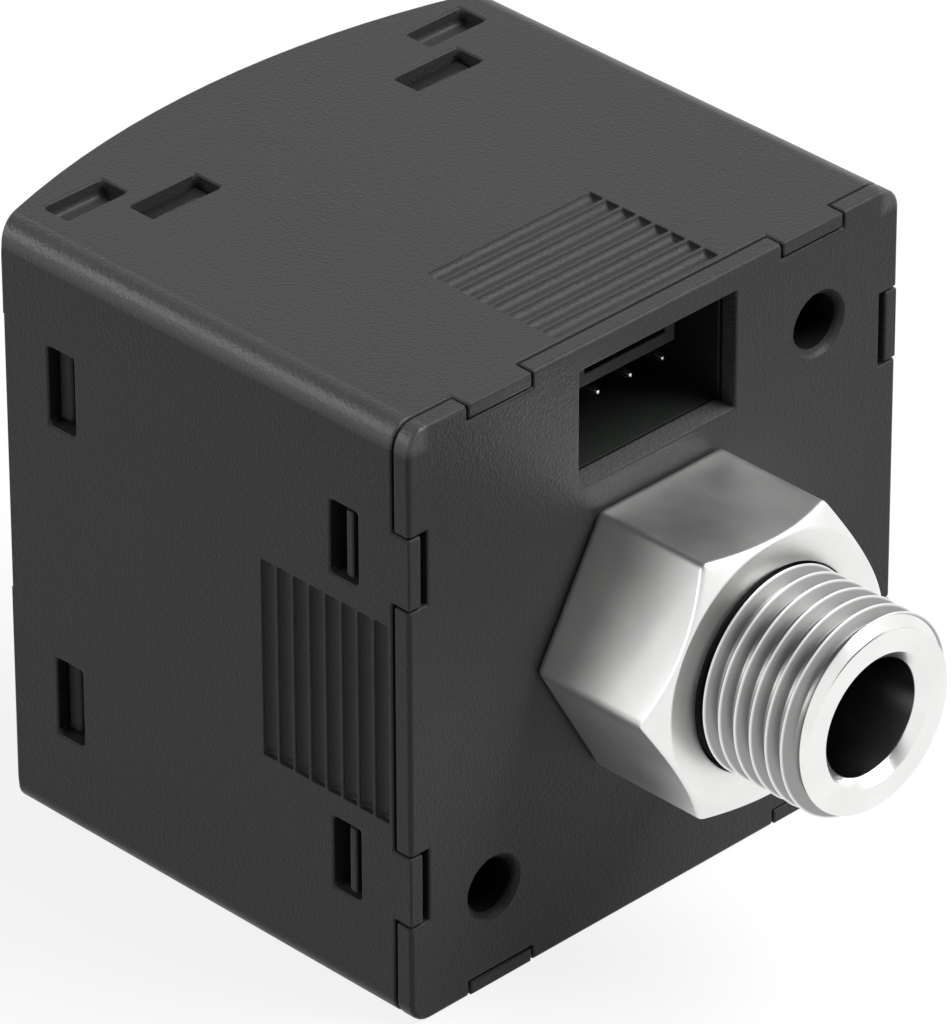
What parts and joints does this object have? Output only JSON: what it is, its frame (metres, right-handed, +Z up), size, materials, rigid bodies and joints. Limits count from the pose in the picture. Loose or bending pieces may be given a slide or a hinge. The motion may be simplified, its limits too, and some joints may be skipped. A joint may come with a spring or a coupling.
{
  "type": "pressure sensor",
  "caption": "Compact square pressure sensor with a curved display front, push keys, a rear plug socket and a hexagonal threaded pressure port.",
  "frame": {"origin": "centre of the bounding box's lower face, which is the plane that the sensor rests on", "axes": "+Y out of the pressure port, -Y out of the display, +Z up towards the plug socket's side"},
  "size_m": [0.03, 0.0412, 0.03],
  "materials": {
    "dark_plastic": "fine moulded grain",
    "black_plastic": "matt moulded",
    "nickel_plated_brass": "turned and nickel plated",
    "black_rubber": "matt",
    "key_rubber": "smooth matt",
    "tin_plate": "bright tin plated",
    "spring_steel": "bright rolled",
    "ceramic": "ground ceramic",
    "polyimide": "flexible printed circuit",
    "circuit_board": "green solder resist",
    "smoked_window": "polished smoked pane",
    "display_glass": "display glass",
    "milky_plastic": "diffusing",
    "grey_rubber": "layered conductive strip"
  },
  "bodies": {
    "sensor_body": {"housing": "dark_plastic", "rear_cover": "dark_plastic", "front_cover": "black_plastic", "display_window": "smoked_window", "port_fitting": "nickel_plated_brass", "port_seal_ring": "black_rubber", "retaining_ring": "spring_steel", "cell_seal": "black_rubber", "sensing_cell": "ceramic", "cell_retainer": "nickel_plated_brass", "cell_ribbon": "polyimide", "socket_header": "black_plastic", "socket_pin_1": "tin_plate", "socket_pin_2": "tin_plate", "socket_pin_3": "tin_plate", "socket_pin_4": "tin_plate", "main_board": "circuit_board", "amplifier_chip": "black_plastic", "processor_chip": "black_plastic", "board_connector": "black_plastic", "display_board": "circuit_board", "display_panel": "display_glass", "light_guide": "milky_plastic", "contact_strip": "grey_rubber", "key_switch_left": "black_plastic", "key_switch_centre": "black_plastic", "key_switch_right": "black_plastic"},
    "key_left_body": {"key_left": "key_rubber"},
    "key_centre_body": {"key_centre": "key_rubber"},
    "key_right_body": {"key_right": "key_rubber"}
  },
  "joints": [
    {"name": "key_left_press", "type": "slide", "parent": "sensor_body", "child": "key_left_body", "axis": [0, 1, 0], "range_m": [0, 0.00025], "stiffness_N_per_m": 400},
    {"name": "key_centre_press", "type": "slide", "parent": "sensor_body", "child": "key_centre_body", "axis": [0, 1, 0], "range_m": [0, 0.00025], "stiffness_N_per_m": 400},
    {"name": "key_right_press", "type": "slide", "parent": "sensor_body", "child": "key_right_body", "axis": [0, 1, 0], "range_m": [0, 0.00025], "stiffness_N_per_m": 400}
  ]
}
